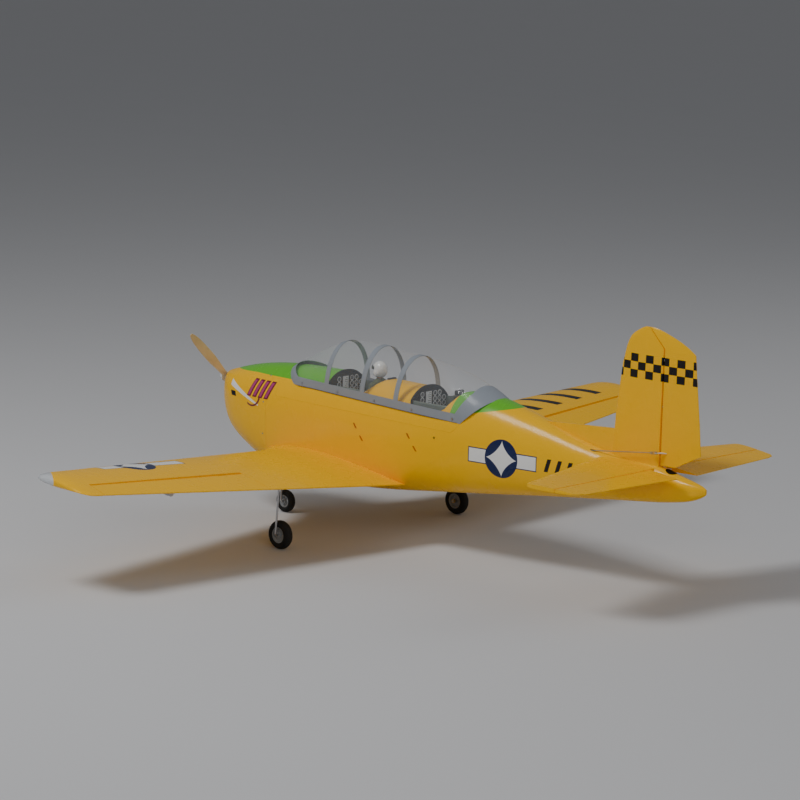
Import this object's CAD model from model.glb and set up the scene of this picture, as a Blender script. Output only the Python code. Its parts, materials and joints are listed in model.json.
"""Looks of a one-fifth scale radio-controlled trainer: finishes, cockpit details, pilot and studio."""

import json
import logging
import math
from dataclasses import dataclass, field
from enum import Enum
from typing import Callable, Iterable, Sequence, Union

import bmesh
import bpy
from mathutils import Matrix, Vector
from mathutils.bvhtree import BVHTree

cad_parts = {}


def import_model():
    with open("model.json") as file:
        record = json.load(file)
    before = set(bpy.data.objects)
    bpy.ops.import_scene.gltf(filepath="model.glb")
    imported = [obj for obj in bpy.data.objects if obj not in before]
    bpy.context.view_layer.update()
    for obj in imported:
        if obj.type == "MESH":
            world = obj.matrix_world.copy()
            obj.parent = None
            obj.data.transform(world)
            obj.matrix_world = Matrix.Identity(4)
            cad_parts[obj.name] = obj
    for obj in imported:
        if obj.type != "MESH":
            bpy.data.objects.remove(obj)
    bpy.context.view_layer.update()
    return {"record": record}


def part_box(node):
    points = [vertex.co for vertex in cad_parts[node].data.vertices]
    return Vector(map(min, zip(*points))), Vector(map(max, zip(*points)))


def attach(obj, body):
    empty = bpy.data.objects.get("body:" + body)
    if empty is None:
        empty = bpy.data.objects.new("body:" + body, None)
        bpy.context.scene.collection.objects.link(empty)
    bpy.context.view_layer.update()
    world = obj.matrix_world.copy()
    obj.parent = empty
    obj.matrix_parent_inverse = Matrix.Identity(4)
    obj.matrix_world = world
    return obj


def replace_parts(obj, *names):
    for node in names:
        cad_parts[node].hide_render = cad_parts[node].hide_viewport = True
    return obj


LOG = logging.getLogger("trainer")
Colour = tuple[float, float, float]
Number = Union[int, float]

YELLOW: Colour = (0.98, 0.53, 0.0)
AMBER: Colour = (0.92, 0.45, 0.0)
GREEN: Colour = (0.14, 0.50, 0.03)
NAVY: Colour = (0.012, 0.022, 0.085)
WHITE: Colour = (0.82, 0.82, 0.80)
BLACK: Colour = (0.012, 0.011, 0.012)
MAROON: Colour = (0.16, 0.012, 0.045)
MAGENTA: Colour = (0.42, 0.06, 0.20)
RESIN: Colour = (0.34, 0.22, 0.10)


# ------------------------------------------------------------------------------------------------
# Shader maths
# ------------------------------------------------------------------------------------------------
class Sock:
    """A float output of a shader tree that can be used in arithmetic."""

    def __init__(self, tree: "ShaderTree", socket: bpy.types.NodeSocket) -> None:
        """Wraps a socket.

        Args:
            tree: the tree that owns the socket.
            socket: the output to wrap.
        """
        self.tree = tree
        self.socket = socket

    def _op(self, name: str, *others: "Sock | Number", clamp: bool = False) -> "Sock":
        """Applies a Math operation with this socket first."""
        return self.tree.math(name, self, *others, clamp=clamp)

    def __add__(self, other: "Sock | Number") -> "Sock":
        """Sum."""
        return self._op("ADD", other)

    __radd__ = __add__

    def __sub__(self, other: "Sock | Number") -> "Sock":
        """Difference."""
        return self._op("SUBTRACT", other)

    def __rsub__(self, other: "Sock | Number") -> "Sock":
        """Difference with a number first."""
        return self.tree.math("SUBTRACT", other, self)

    def __mul__(self, other: "Sock | Number") -> "Sock":
        """Product."""
        return self._op("MULTIPLY", other)

    __rmul__ = __mul__

    def __truediv__(self, other: "Sock | Number") -> "Sock":
        """Quotient."""
        return self._op("DIVIDE", other)

    def __rtruediv__(self, other: "Sock | Number") -> "Sock":
        """Quotient with a number first."""
        return self.tree.math("DIVIDE", other, self)

    def __neg__(self) -> "Sock":
        """Opposite."""
        return self._op("MULTIPLY", -1.0)

    def __abs__(self) -> "Sock":
        """Absolute value."""
        return self._op("ABSOLUTE")

    def __pow__(self, other: "Sock | Number") -> "Sock":
        """Power."""
        return self._op("POWER", other)

    def __rpow__(self, other: "Sock | Number") -> "Sock":
        """Power with a number as the base."""
        return self.tree.math("POWER", other, self)

    def sine(self) -> "Sock":
        """Sine."""
        return self._op("SINE")

    def root(self) -> "Sock":
        """Square root."""
        return self._op("SQRT")

    def fraction(self) -> "Sock":
        """Fractional part."""
        return self._op("FRACT")

    def floor(self) -> "Sock":
        """Next lower whole number."""
        return self._op("FLOOR")

    def least(self, other: "Sock | Number") -> "Sock":
        """Smaller of two values."""
        return self._op("MINIMUM", other)

    def most(self, other: "Sock | Number") -> "Sock":
        """Larger of two values."""
        return self._op("MAXIMUM", other)

    def above(self, limit: "Sock | Number", soft: float = 0.0004) -> "Sock":
        """One where the value is above a limit, with a short ramp.

        Args:
            limit: where the ramp is half way.
            soft: the ramp's length.

        Returns:
            The mask.
        """
        return ((self - limit) / soft)._op("ADD", 0.5, clamp=True)

    def below(self, limit: "Sock | Number", soft: float = 0.0004) -> "Sock":
        """One where the value is below a limit, with a short ramp.

        Args:
            limit: where the ramp is half way.
            soft: the ramp's length.

        Returns:
            The mask.
        """
        return 1.0 - self.above(limit, soft)

    def within(self, low: "Sock | Number", high: "Sock | Number", soft: float = 0.0004) -> "Sock":
        """One between two limits.

        Args:
            low: lower limit.
            high: upper limit.
            soft: ramp at each limit.

        Returns:
            The mask.
        """
        return self.above(low, soft) * self.below(high, soft)


Field = Union[Sock, bpy.types.NodeSocket, Number, Colour]


class ShaderTree:
    """Builds one material from nodes."""

    def __init__(self, name: str) -> None:
        """Starts an empty material.

        Args:
            name: the material's name.
        """
        self.material = bpy.data.materials.new(name)
        self.material.use_nodes = True
        self.material.node_tree.nodes.clear()

    def node(self, kind: str, settings: dict | None = None, inputs: dict | None = None) -> bpy.types.Node:
        """Adds a node.

        Args:
            kind: the node's type name.
            settings: properties to set before the inputs.
            inputs: values or sockets by input name or number.

        Returns:
            The new node.
        """
        made = self.material.node_tree.nodes.new(kind)
        for key, value in (settings or {}).items():
            setattr(made, key, value)
        for key, value in (inputs or {}).items():
            self._feed(made.inputs[key], value)
        return made

    def _feed(self, target: bpy.types.NodeSocket, value: Field) -> None:
        """Links a socket or sets a default value.

        Args:
            target: the input to feed.
            value: what to give it.
        """
        if isinstance(value, Sock):
            value = value.socket
        if isinstance(value, bpy.types.NodeSocket):
            self.material.node_tree.links.new(value, target)
        elif isinstance(value, tuple) and target.type == "RGBA":
            target.default_value = (*value, 1.0)
        else:
            target.default_value = value

    def math(self, operation: str, *values: "Sock | Number", clamp: bool = False) -> Sock:
        """Adds a Math node.

        Args:
            operation: its operation.
            values: its inputs in order.
            clamp: whether the result is held between nought and one.

        Returns:
            The result.
        """
        made = self.node(
            "ShaderNodeMath", {"operation": operation, "use_clamp": clamp}, dict(enumerate(values))
        )
        return Sock(self, made.outputs[0])

    def place(self) -> tuple[Sock, Sock, Sock]:
        """The row-frame position as three values, in metres.

        Returns:
            Station, span position and height.
        """
        coords = self.node("ShaderNodeTexCoord")
        parts = self.node("ShaderNodeSeparateXYZ", None, {0: coords.outputs["Object"]})
        return Sock(self, parts.outputs[0]), Sock(self, parts.outputs[1]), Sock(self, parts.outputs[2])

    def vector(self, x: "Sock | Number", y: "Sock | Number", z: "Sock | Number") -> bpy.types.NodeSocket:
        """Three values joined to a vector."""
        return self.node("ShaderNodeCombineXYZ", None, {0: x, 1: y, 2: z}).outputs[0]

    def mix(self, share: Field, first: Field, second: Field) -> bpy.types.NodeSocket:
        """Mixes two colours.

        Args:
            share: how much of the second colour.
            first: the colour at nought.
            second: the colour at one.

        Returns:
            The mixed colour.
        """
        made = self.node("ShaderNodeMix", {"data_type": "RGBA"}, {0: share, 6: first, 7: second})
        return made.outputs[2]

    def noise(self, scale: float, detail: float = 3.0, vector: Field | None = None) -> Sock:
        """Noise on the row-frame position.

        Args:
            scale: features per metre.
            detail: octaves.
            vector: another position to use.

        Returns:
            A value round one half.
        """
        if vector is None:
            vector = self.node("ShaderNodeTexCoord").outputs["Object"]
        made = self.node("ShaderNodeTexNoise", None, {"Vector": vector, "Scale": scale, "Detail": detail})
        return Sock(self, made.outputs[0])


def disc(u: Sock, v: Sock, centre: tuple[float, float], radius: float) -> Sock:
    """Mask of a disc.

    Args:
        u: first coordinate.
        v: second coordinate.
        centre: its centre.
        radius: its radius.

    Returns:
        The mask.
    """
    du, dv = u - centre[0], v - centre[1]
    return (du * du + dv * dv).root().below(radius)


def panel(u: Sock, v: Sock, low: tuple[float, float], high: tuple[float, float], lean: float = 0.0) -> Sock:
    """Mask of a rectangle or of a parallelogram.

    Args:
        u: first coordinate.
        v: second coordinate.
        low: its low corner.
        high: its high corner.
        lean: shift of u per unit of v.

    Returns:
        The mask.
    """
    shifted = u - (v - low[1]) * lean
    return shifted.within(low[0], high[0]) * v.within(low[1], high[1])


def kite(u: Sock, v: Sock, centre: tuple[float, float], reach: float) -> Sock:
    """Mask of a four-cornered kite with hollow sides.

    Args:
        u: first coordinate.
        v: second coordinate.
        centre: its centre.
        reach: centre to corner.

    Returns:
        The mask.
    """
    du, dv = abs(u - centre[0]) / reach, abs(v - centre[1]) / reach
    return (du**0.72 + dv**0.72).below(1.0, 0.02)


# ------------------------------------------------------------------------------------------------
# Finishes
# ------------------------------------------------------------------------------------------------
_MADE: dict[str, bpy.types.Material] = {}


@dataclass(frozen=True)
class Finish:
    """A plain finish with a fine grain and slight mottling."""

    name: str
    colour: Colour
    roughness: float = 0.45
    metallic: float = 0.0
    coat: float = 0.0
    grain: float = 900.0
    depth: float = 0.00003
    mottle: float = 0.10

    def colour_field(self, tree: ShaderTree) -> Field:
        """The base colour, mottled."""
        share = tree.noise(self.grain / 20.0, 4.0) * self.mottle
        return tree.mix(share, self.colour, tuple(0.35 * c for c in self.colour))

    def rough_field(self, tree: ShaderTree) -> Field:
        """The roughness, uneven by a few per cent."""
        return tree.noise(self.grain / 40.0, 3.0) * 0.16 + (self.roughness - 0.08)

    def height_field(self, tree: ShaderTree) -> Sock:
        """The surface's relief, in metres."""
        return tree.noise(self.grain, 3.0) * self.depth

    def surface(self, tree: ShaderTree) -> bpy.types.Node:
        """The shader.

        Args:
            tree: the tree to build in.

        Returns:
            The shader node.
        """
        bump = tree.node(
            "ShaderNodeBump", None, {"Height": self.height_field(tree), "Distance": 1.0, "Strength": 1.0}
        )
        values = {
            "Base Color": self.colour_field(tree),
            "Roughness": self.rough_field(tree),
            "Metallic": self.metallic,
            "Coat Weight": self.coat,
            "Coat Roughness": 0.06,
            "Specular IOR Level": 0.22,
            "Normal": bump.outputs[0],
        }
        return tree.node("ShaderNodeBsdfPrincipled", None, values)

    def material(self) -> bpy.types.Material:
        """The material, made once.

        Returns:
            The material.
        """
        if self.name not in _MADE:
            tree = ShaderTree(self.name)
            shader = self.surface(tree)
            tree.node("ShaderNodeOutputMaterial", None, {"Surface": shader.outputs[0]})
            _MADE[self.name] = tree.material
        return _MADE[self.name]


@dataclass(frozen=True)
class HullPaint(Finish):
    """Glossy fuselage paint with its markings on both sides."""

    badge: tuple[float, float] = (-0.231, 0.262)
    badge_radius: float = 0.046
    bar_half_height: float = 0.016
    bar_ends: tuple[float, float] = (-0.328, -0.139)
    bar_border: float = 0.0025
    dash_start: float = -0.362
    dash_pitch: float = 0.030
    dash_width: float = 0.011

    def colour_field(self, tree: ShaderTree) -> Field:
        """Yellow with the green top, the side badge, stripes and small marks.

        Args:
            tree: the tree to build in.

        Returns:
            The base colour.
        """
        x, y, z = tree.place()
        tone = tree.noise(9.0, 3.0)
        colour = tree.mix(tone * 0.25, YELLOW, AMBER)
        nose_line = 0.3565 - (x - 0.60).most(0.0) * 0.055
        nose = x.above(0.345) * z.above(nose_line, 0.0008)
        aft_edge = 0.350 + (x + 0.10) * -0.20
        aft = x.below(-0.065) * x.above(-0.300) * z.above(aft_edge, 0.0008)
        green = tree.mix(tone * 0.3, GREEN, (0.10, 0.42, 0.02))
        colour = tree.mix(nose.most(aft), colour, green)
        rear, front = self.bar_ends
        foot, head = self.badge[1] - self.bar_half_height, self.badge[1] + self.bar_half_height
        border = self.bar_border
        bars = panel(x, z, (rear, foot), (front, head))
        edge = panel(x, z, (rear - border, foot - border), (front + border, head + border))
        colour = tree.mix(edge, colour, NAVY)
        colour = tree.mix(bars, colour, WHITE)
        colour = tree.mix(disc(x, z, self.badge, self.badge_radius), colour, NAVY)
        colour = tree.mix(kite(x, z, self.badge, self.badge_radius - 0.003), colour, WHITE)
        for number in range(4):
            low = self.dash_start - self.dash_pitch * number
            colour = tree.mix(panel(x, z, (low, 0.248), (low + self.dash_width, 0.279), -0.30), colour, BLACK)
        for centre in (0.215, 0.040):
            strokes = panel(x, z, (centre - 0.018, 0.244), (centre - 0.013, 0.284), 0.80)
            ends = z.above(0.272, 0.001).most(z.below(0.256, 0.001))
            colour = tree.mix(strokes * ends, colour, (0.38, 0.03, 0.02))
        colour = tree.mix(disc(x, z, (-0.031, 0.285), 0.0028), colour, (0.05, 0.03, 0.02))
        colour = self._sash(tree, colour, x, z)
        return tree.mix(self._inside(tree, y), colour, RESIN)

    def _inside(self, tree: ShaderTree, y: Sock) -> Sock:
        """Mask of the unpainted inner walls, whose normals point to the middle.

        Args:
            tree: the tree to build in.
            y: span position.

        Returns:
            The mask.
        """
        normal = tree.node("ShaderNodeNewGeometry").outputs["Normal"]
        across = Sock(tree, tree.node("ShaderNodeSeparateXYZ", None, {0: normal}).outputs[1])
        return (across * y).below(-0.0006, 0.0008)

    def _sash(self, tree: ShaderTree, colour: Field, x: Sock, z: Sock) -> Field:
        """Adds the tapered sash on the cowl's sides.

        Args:
            tree: the tree to build in.
            colour: the colour under it.
            x: station.
            z: height.

        Returns:
            The colour with the sash.
        """
        ribbon_line = 0.282 + (x - 0.565) * 0.30
        ribbon = (z - ribbon_line).within(-0.0035, (x - 0.560) * 0.09) * x.within(0.565, 0.686)
        colour = tree.mix(ribbon, colour, WHITE)
        du, dv = x - 0.590, z - 0.300
        ring = (du * du + dv * dv * 1.3).root()
        hook = ring.within(0.024, 0.0295 + (x - 0.56) * -0.02) * z.below(0.300) * x.below(0.606)
        colour = tree.mix(hook, colour, MAROON)
        for number in range(4):
            low = 0.533 + 0.021 * number
            outer = panel(x, z, (low, 0.299), (low + 0.015, 0.344), -0.42)
            inner = panel(x, z, (low + 0.0035, 0.3025), (low + 0.0115, 0.3405), -0.42)
            colour = tree.mix(outer, colour, MAROON)
            colour = tree.mix(inner, colour, MAGENTA)
        tick = panel(x, z, (0.655, 0.290), (0.676, 0.302), 0.5)
        return tree.mix(tick, colour, BLACK)

    def height_field(self, tree: ShaderTree) -> Sock:
        """Slight waviness and fine orange peel."""
        return tree.noise(14.0, 2.0) * 0.0006 + tree.noise(self.grain, 2.0) * self.depth


@dataclass(frozen=True)
class WingFilm(Finish):
    """Ironed-on glossy film over ribs, with the markings on top of the wing."""

    rib_pitch: float = 0.062
    root_lead: tuple[float, float] = (0.515, 0.1535)
    root_trail: tuple[float, float] = (0.069, 0.146)
    lead_sweep: float = 0.159
    trail_sweep: float = 0.105
    lead_rise: float = 0.0945
    trail_rise: float = 0.0861
    badge: tuple[float, float] = (0.710, 0.339)
    badge_radius: float = 0.051

    def _top(self, x: Sock, y: Sock, z: Sock) -> Sock:
        """Mask of the upper surface, above the chord plane.

        Args:
            x: station.
            y: span position.
            z: height.

        Returns:
            The mask.
        """
        span = abs(y)
        lead, trail = self.root_lead[0] - span * self.lead_sweep, self.root_trail[0] + span * self.trail_sweep
        lead_z = self.root_lead[1] + span * self.lead_rise
        trail_z = self.root_trail[1] + span * self.trail_rise
        plane = lead_z + (lead - x) / (lead - trail) * (trail_z - lead_z)
        return (z - plane).above(0.0005)

    def colour_field(self, tree: ShaderTree) -> Field:
        """Yellow with the badge on the left panel and slanted stripes on the right one.

        Args:
            tree: the tree to build in.

        Returns:
            The base colour.
        """
        x, y, z = tree.place()
        tone = tree.noise(7.0, 3.0)
        colour = tree.mix(tone * 0.25, YELLOW, AMBER)
        top = self._top(x, y, z)
        bars = panel(y, x, (0.566, 0.322), (0.818, 0.356)) * top
        edge = panel(y, x, (0.563, 0.3195), (0.821, 0.3585)) * top
        colour = tree.mix(edge, colour, NAVY)
        colour = tree.mix(bars, colour, WHITE)
        colour = tree.mix(disc(y, x, self.badge, self.badge_radius) * top, colour, NAVY)
        colour = tree.mix(kite(y, x, self.badge, self.badge_radius - 0.004) * top, colour, WHITE)
        for number in range(4):
            low = -0.892 + 0.078 * number
            stripe = panel(y, x, (low, 0.262), (low + 0.024, 0.370), 0.34)
            colour = tree.mix(stripe * top, colour, BLACK)
        return colour

    def height_field(self, tree: ShaderTree) -> Sock:
        """Ribs under the film, faint wrinkles and fine grain.

        Args:
            tree: the tree to build in.

        Returns:
            The relief, in metres.
        """
        x, y, z = tree.place()
        wave = abs((y * (math.pi / self.rib_pitch)).sine())
        ribs = wave**0.5 * -0.00022
        stretched = tree.vector(x * 5.0, y * 16.0, z * 5.0)
        wrinkles = tree.noise(4.0, 4.0, stretched) * 0.0011
        return ribs + wrinkles + tree.noise(self.grain, 2.0) * self.depth


@dataclass(frozen=True)
class TailFilm(WingFilm):
    """The same film on fin and rudder, with a band of checks."""

    band: tuple[float, float] = (0.4965, 0.552)
    check_width: float = 0.0222
    check_height: float = 0.0185

    def colour_field(self, tree: ShaderTree) -> Field:
        """Yellow with three rows of black checks.

        Args:
            tree: the tree to build in.

        Returns:
            The base colour.
        """
        x, y, z = tree.place()
        tone = tree.noise(7.0, 3.0)
        colour = tree.mix(tone * 0.25, YELLOW, AMBER)
        column = ((x + 0.650) / self.check_width).floor()
        row = ((z - self.band[0]) / self.check_height).floor()
        odd = ((column + row) * 0.5).fraction().above(0.25, 0.01)
        band = z.within(*self.band) * abs(y).above(0.0004)
        return tree.mix(odd * band, colour, BLACK)

    def height_field(self, tree: ShaderTree) -> Sock:
        """Ribs across the fin, wrinkles and grain.

        Args:
            tree: the tree to build in.

        Returns:
            The relief, in metres.
        """
        x, y, z = tree.place()
        wave = abs((z * (math.pi / 0.055)).sine())
        wrinkles = tree.noise(4.0, 4.0, tree.vector(x * 8.0, y * 4.0, z * 12.0)) * 0.0007
        return wave**0.5 * -0.00012 + wrinkles + tree.noise(self.grain, 2.0) * self.depth


@dataclass(frozen=True)
class Grained(Finish):
    """Wood with its grain along one direction."""

    along: Colour = (1.0, 0.0, 0.0)
    dark: Colour = (0.35, 0.20, 0.09)
    rings: float = 55.0

    def _grain(self, tree: ShaderTree) -> Sock:
        """Streaks along the grain.

        Args:
            tree: the tree to build in.

        Returns:
            The streaks, round one half.
        """
        x, y, z = tree.place()
        squeeze = [1.0 - 0.93 * a for a in self.along]
        return tree.noise(self.rings, 6.0, tree.vector(x * squeeze[0], y * squeeze[1], z * squeeze[2]))

    def colour_field(self, tree: ShaderTree) -> Field:
        """Wood colour with darker streaks."""
        streak = (self._grain(tree) - 0.35) * 1.9
        return tree.mix(streak.most(0.0).least(1.0) * 0.55, self.colour, self.dark)

    def height_field(self, tree: ShaderTree) -> Sock:
        """Open grain."""
        return self._grain(tree) * self.depth


@dataclass(frozen=True)
class Brushed(Finish):
    """Metal with fine drawn lines along one direction."""

    along: Colour = (0.0, 0.0, 1.0)

    def height_field(self, tree: ShaderTree) -> Sock:
        """Long scratches.

        Args:
            tree: the tree to build in.

        Returns:
            The relief, in metres.
        """
        x, y, z = tree.place()
        squeeze = [1.0 - 0.97 * a for a in self.along]
        return tree.noise(
            self.grain, 3.0, tree.vector(x * squeeze[0], y * squeeze[1], z * squeeze[2])
        ) * self.depth


@dataclass(frozen=True)
class TyreRubber(Finish):
    """Rubber tyre with tread grooves round it and a moulded sidewall."""

    axle: Colour = (0.248, 0.315, 0.035)
    radius: float = 0.035

    def height_field(self, tree: ShaderTree) -> Sock:
        """Grooves round the tread, a ring on each sidewall and a rubber grain.

        Args:
            tree: the tree to build in.

        Returns:
            The relief, in metres.
        """
        x, y, z = tree.place()
        dx, dy, dz = x - self.axle[0], y - self.axle[1], z - self.axle[2]
        reach = (dx * dx + dz * dz).root()
        tread = reach.above(self.radius * 0.90, 0.0012)
        grooves = (dy * 1900.0).sine().above(0.55, 0.25) * tread
        wall = (reach / self.radius).within(0.74, 0.77, 0.01)
        return grooves * -0.0006 + wall * 0.0004 + tree.noise(self.grain, 3.0) * self.depth

    def colour_field(self, tree: ShaderTree) -> Field:
        """Black with dust where it meets the ground.

        Args:
            tree: the tree to build in.

        Returns:
            The base colour.
        """
        x, _, z = tree.place()
        dx, dz = x - self.axle[0], z - self.axle[2]
        reach = (dx * dx + dz * dz).root().above(self.radius * 0.93, 0.003)
        return tree.mix(reach * tree.noise(260.0, 4.0) * 0.22, self.colour, (0.12, 0.11, 0.10))


@dataclass(frozen=True)
class Clear(Finish):
    """Thin clear plastic with faint haze and hairline scratches."""

    opacity: float = 0.055

    def surface(self, tree: ShaderTree) -> bpy.types.Node:
        """A see-through glossy shell.

        Args:
            tree: the tree to build in.

        Returns:
            The shader node.
        """
        haze = tree.noise(16.0, 4.0) * 0.03 + (self.opacity - 0.015)
        bump = tree.node(
            "ShaderNodeBump", None, {"Height": self.height_field(tree), "Distance": 1.0, "Strength": 0.6}
        )
        values = {
            "Base Color": self.colour_field(tree),
            "Roughness": self.rough_field(tree),
            "Alpha": haze,
            "Normal": bump.outputs[0],
        }
        return tree.node("ShaderNodeBsdfPrincipled", None, values)

    def height_field(self, tree: ShaderTree) -> Sock:
        """Soft moulding waves."""
        return tree.noise(11.0, 2.0) * 0.0004


@dataclass(frozen=True)
class Woven(Finish):
    """Cloth or webbing with a weave."""

    pitch: float = 0.0011

    def height_field(self, tree: ShaderTree) -> Sock:
        """Crossing threads.

        Args:
            tree: the tree to build in.

        Returns:
            The relief, in metres.
        """
        x, y, z = tree.place()
        turn = 2 * math.pi / self.pitch
        return ((x + z) * turn).sine() * ((y - z) * turn).sine() * self.depth


@dataclass(frozen=True)
class Wrapped(Finish):
    """Shrink-wrapped cells with a pale band."""

    band: Colour = (0.75, 0.76, 0.78)

    def colour_field(self, tree: ShaderTree) -> Field:
        """Wrap colour with bands between the cells.

        Args:
            tree: the tree to build in.

        Returns:
            The base colour.
        """
        x, _, _ = tree.place()
        lines = ((x - 0.408) / 0.024).fraction().within(0.03, 0.97, 0.02)
        stripe = x.within(0.440, 0.466)
        return tree.mix(stripe, tree.mix(lines, (0.03, 0.05, 0.12), self.colour), self.band)


class Palette(Enum):
    """Finishes by their place on the model."""

    HULL = HullPaint("glossy hull paint", YELLOW, 0.26, coat=0.10)
    WING = WingFilm("ironed wing film", YELLOW, 0.28, coat=0.06)
    TAIL = TailFilm("ironed tail film", YELLOW, 0.28, coat=0.06)
    FAIRING = Finish("fairing paint", (0.50, 0.27, 0.01), 0.34, coat=0.2)
    FRAME = Finish("canopy frame grey", (0.29, 0.32, 0.36), 0.38, coat=0.10)
    CANOPY = Clear("canopy clear", (0.78, 0.82, 0.86), 0.07, mottle=0.0)
    LENS = Finish("tip light cap", (0.62, 0.64, 0.66), 0.22, coat=0.6)
    PLY = Grained("birch plywood", (0.58, 0.40, 0.22), 0.62, along=(0.0, 1.0, 0.0))
    PROP = Grained(
        "varnished beech",
        (0.80, 0.60, 0.33),
        0.30,
        coat=0.5,
        along=(0.0, 0.70, 0.68),
        dark=(0.45, 0.28, 0.12),
    )
    SERVO = Finish("servo case black", (0.02, 0.02, 0.022), 0.42)
    RADIO = Finish("receiver case", (0.035, 0.035, 0.045), 0.38)
    ALLOY = Finish("cast alloy", (0.60, 0.60, 0.61), 0.48, metallic=0.9, grain=1400.0, depth=0.00008)
    ENGINE = Finish(
        "bead-blasted engine", (0.46, 0.46, 0.47), 0.55, metallic=0.85, grain=1600.0, depth=0.00008
    )
    MUFFLER = Brushed("brushed muffler", (0.55, 0.55, 0.56), 0.35, metallic=1.0, along=(1.0, 0.0, 0.0))
    TANK = Finish("milky tank", (0.70, 0.69, 0.62), 0.40)
    BATTERY = Wrapped("battery wrap", (0.05, 0.14, 0.45), 0.25, coat=0.4)
    TUBE = Brushed("drawn tube", (0.66, 0.67, 0.68), 0.30, metallic=1.0, along=(0.0, 1.0, 0.0))
    NYLON = Finish("white nylon", (0.72, 0.72, 0.68), 0.50)
    BLACK_NYLON = Finish("black nylon", (0.018, 0.018, 0.018), 0.48)
    WIRE = Brushed("gear wire", (0.50, 0.50, 0.51), 0.32, metallic=1.0)
    ROD = Brushed("pushrod wire", (0.52, 0.52, 0.53), 0.30, metallic=1.0, along=(1.0, 0.0, 0.0))
    BRASS = Finish("collar brass", (0.70, 0.50, 0.20), 0.28, metallic=1.0)
    SHAFT = Finish("ground shaft", (0.55, 0.55, 0.57), 0.22, metallic=1.0)
    NUT = Finish("white spinner nut", (0.78, 0.78, 0.77), 0.20, coat=0.5)
    HUB = Finish("wheel hub grey", (0.30, 0.31, 0.32), 0.45)
    MAIN_TYRE = TyreRubber("main tyre rubber", (0.016, 0.016, 0.016), 0.78, grain=1500.0, depth=0.00005)
    RIGHT_TYRE = TyreRubber("right tyre rubber", (0.016, 0.016, 0.016), 0.78, axle=(0.248, -0.315, 0.035))
    NOSE_TYRE = TyreRubber(
        "nose tyre rubber", (0.016, 0.016, 0.016), 0.78, axle=(0.545, 0.0, 0.0285), radius=0.0285
    )
    SCREW = Finish("screw steel", (0.42, 0.42, 0.43), 0.30, metallic=1.0)
    PANEL = Finish("panel black", (0.014, 0.014, 0.015), 0.62)
    TUB = Finish("cockpit grey", (0.16, 0.19, 0.16), 0.70)
    SEAT = Finish("seat shell", (0.10, 0.115, 0.10), 0.60)
    CUSHION = Woven("cushion cloth", (0.09, 0.085, 0.05), 0.90, depth=0.00012)
    WEBBING = Woven("harness webbing", (0.30, 0.27, 0.17), 0.85, depth=0.00015, pitch=0.0007)
    BEZEL = Finish("bezel white", (0.90, 0.90, 0.88), 0.40)
    DIAL = Finish("dial black", (0.010, 0.010, 0.011), 0.35, coat=0.5)
    MARKS = Finish("dial marks", (0.80, 0.80, 0.76), 0.50)
    CARD = Finish("placard white", (0.90, 0.90, 0.88), 0.55)
    KNOB = Finish("tan knob", (0.42, 0.24, 0.10), 0.45)
    RUBBER = Finish("edging rubber", (0.03, 0.03, 0.032), 0.70)
    HELMET = Finish("helmet white", (0.80, 0.80, 0.78), 0.28, coat=0.5)
    VISOR = Finish("visor smoke", (0.02, 0.022, 0.03), 0.12, coat=0.8)
    SKIN = Finish("doll skin", (0.60, 0.33, 0.22), 0.55)
    SUIT = Woven("flying suit", (0.12, 0.14, 0.075), 0.88, depth=0.00012, pitch=0.0013)
    FLOOR = Finish("studio floor", (0.62, 0.62, 0.63), 0.85, grain=60.0, depth=0.00001, mottle=0.02)

    def material(self) -> bpy.types.Material:
        """The material of this finish."""
        return self.value.material()


# ------------------------------------------------------------------------------------------------
# Mesh makers
# ------------------------------------------------------------------------------------------------
def add_object(name: str, mesh: bpy.types.Mesh, finish: Palette, smooth: bool = True) -> bpy.types.Object:
    """Links a finished mesh at the origin and gives it its finish.

    Args:
        name: the piece's name.
        mesh: its mesh, in the row frame.
        finish: what it is made of.
        smooth: whether its faces shade smoothly.

    Returns:
        The object.
    """
    made = bpy.data.objects.new(name, mesh)
    bpy.context.scene.collection.objects.link(made)
    mesh.materials.clear()
    mesh.materials.append(finish.material())
    for polygon in mesh.polygons:
        polygon.use_smooth = smooth
        polygon.material_index = 0
    return made


def settle(name: str, form: bmesh.types.BMesh) -> bpy.types.Mesh:
    """Merges doubles, turns the faces outward and writes a mesh.

    Args:
        name: the mesh's name.
        form: what to write.

    Returns:
        The mesh.
    """
    bmesh.ops.remove_doubles(form, verts=form.verts, dist=1e-6)
    bmesh.ops.recalc_face_normals(form, faces=form.faces)
    mesh = bpy.data.meshes.new(name)
    form.to_mesh(mesh)
    form.free()
    return mesh


def add_loft(form: bmesh.types.BMesh, rings: Sequence[Sequence[Vector]]) -> None:
    """Adds a closed skin through rings of points.

    Args:
        form: where to add it.
        rings: rings with equal numbers of points.
    """
    rows = [[form.verts.new(point) for point in ring] for ring in rings]
    count = len(rows[0])
    for near, far in zip(rows, rows[1:]):
        for i in range(count):
            form.faces.new((near[i], near[(i + 1) % count], far[(i + 1) % count], far[i]))
    form.faces.new(rows[0][::-1])
    form.faces.new(rows[-1])


def ring_at(centre: Vector, across: Vector, beside: Vector, count: int = 24) -> list[Vector]:
    """An ellipse of points.

    Args:
        centre: its centre.
        across: its first half axis.
        beside: its second half axis.
        count: how many points.

    Returns:
        The points.
    """
    turns = [2 * math.pi * i / count for i in range(count)]
    return [centre + across * math.cos(t) + beside * math.sin(t) for t in turns]


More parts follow.
